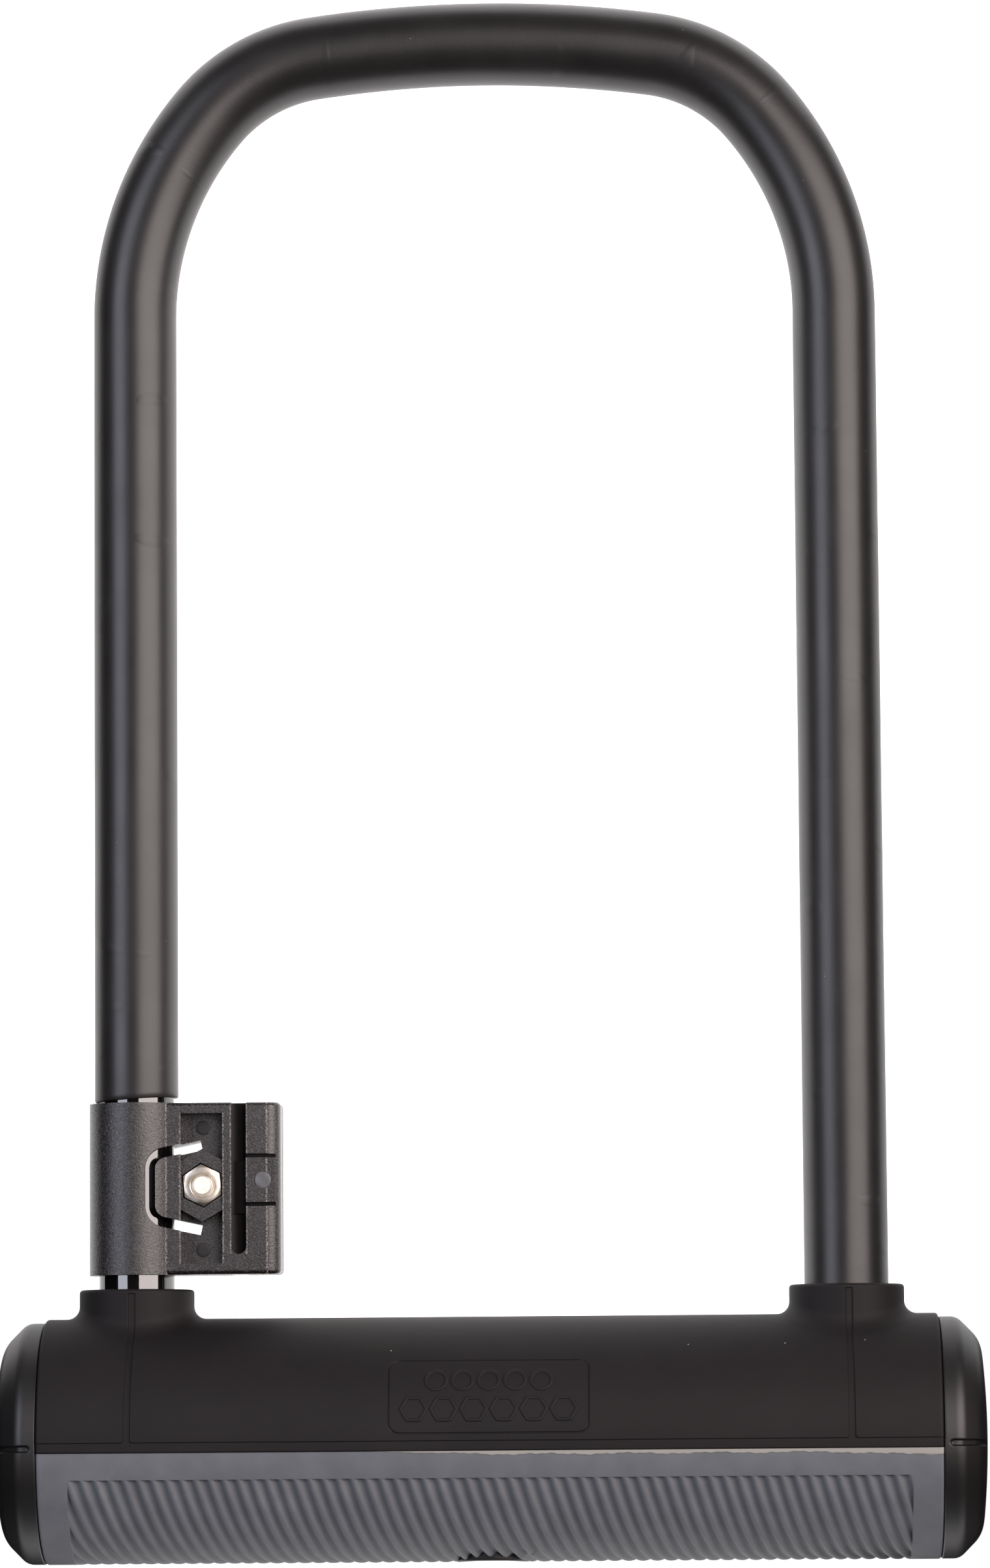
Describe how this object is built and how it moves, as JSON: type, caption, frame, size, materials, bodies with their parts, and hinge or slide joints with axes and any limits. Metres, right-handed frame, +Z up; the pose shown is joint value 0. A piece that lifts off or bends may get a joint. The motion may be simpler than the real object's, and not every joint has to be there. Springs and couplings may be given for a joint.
{
  "type": "bicycle u lock",
  "caption": "U-shaped bicycle lock: vinyl-sleeved steel shackle, ribbed crossbar with a disc cylinder and double bolts, and a clamp-on carrying bracket.",
  "frame": {"origin": "middle of the footprint, at floor level, with the lock lying on its back", "axes": "+X along the crossbar, +Y from the crossbar towards the bow, +Z up, out of the face with the bracket's nut"},
  "size_m": [0.2134, 0.3424, 0.0536],
  "materials": {
    "painted_bar": "gloss black paint on hardened steel",
    "vinyl_sleeve": "satin black vinyl",
    "tube_steel": "drawn steel tube",
    "cover_black": "soft-touch matt black",
    "grip_rubber": "blue-grey moulded rubber",
    "cap_black": "semi-gloss black",
    "seal_rubber": "matt black rubber",
    "core_brass": "machined",
    "shutter_black": "matt black",
    "guide_nylon": "glass-filled nylon",
    "bracket_nylon": "charcoal, coarse spark-eroded grain",
    "zinc_hardware": "bright zinc plate",
    "inner_steel": "hardened steel, ground"
  },
  "bodies": {
    "crossbar": {"crossbar_tube": "tube_steel", "upper_cover": "cover_black", "lower_grip": "grip_rubber", "end_cap_left": "cap_black", "end_cap_right": "cap_black", "tube_end_disc_left": "inner_steel", "tube_end_disc_right": "inner_steel", "foot_socket_left": "inner_steel", "foot_socket_right": "inner_steel", "bolt_guide_left": "guide_nylon", "bolt_guide_right": "guide_nylon", "collar_seal_left": "seal_rubber", "collar_seal_right": "seal_rubber", "cam_washer": "inner_steel", "core_housing": "core_brass", "core_clip": "inner_steel", "keyway_escutcheon": "cap_black"},
    "shackle": {"shackle_bar": "painted_bar", "shackle_sleeve": "vinyl_sleeve"},
    "core": {"core_plug": "core_brass", "drill_guard": "inner_steel", "detainer_discs": "core_brass", "core_sidebar": "inner_steel", "bolt_cam": "inner_steel", "cam_screw": "inner_steel"},
    "bolt_left": {"bolt_left": "inner_steel", "drive_pin_left": "inner_steel"},
    "bolt_right": {"bolt_right": "inner_steel", "drive_pin_right": "inner_steel"},
    "shutter": {"keyway_shutter": "shutter_black"},
    "bracket": {"bracket_front": "bracket_nylon", "bracket_rear": "bracket_nylon", "bracket_nut": "zinc_hardware", "bracket_screw": "zinc_hardware"}
  },
  "joints": [
    {"name": "shackle_slide", "type": "slide", "parent": "crossbar", "child": "shackle", "axis": [0, 1, 0], "range_m": [0, 0.06]},
    {"name": "key_turn", "type": "hinge", "parent": "crossbar", "child": "core", "pos_m": [0, -0.14517, 0.0268], "axis": [0, 1, 0], "range_deg": [0, 90]},
    {"name": "bolt_left_slide", "type": "slide", "parent": "crossbar", "child": "bolt_left", "axis": [-1, 0, 0], "range_m": [0, 0.006]},
    {"name": "bolt_right_slide", "type": "slide", "parent": "crossbar", "child": "bolt_right", "axis": [1, 0, 0], "range_m": [0, 0.006]},
    {"name": "shutter_turn", "type": "hinge", "parent": "crossbar", "child": "shutter", "pos_m": [0, -0.14517, 0.0268], "axis": [0, 1, 0], "range_deg": [0, 90]},
    {"name": "bracket_swivel", "type": "hinge", "parent": "shackle", "child": "bracket", "pos_m": [-0.07695, -0.14517, 0.0268], "axis": [0, -1, 0], "continuous": true}
  ],
  "couplings": [
    {"joint": "bolt_left_slide", "follows": "key_turn", "m_per_rad": 0.0038197},
    {"joint": "bolt_right_slide", "follows": "key_turn", "m_per_rad": 0.0038197}
  ]
}
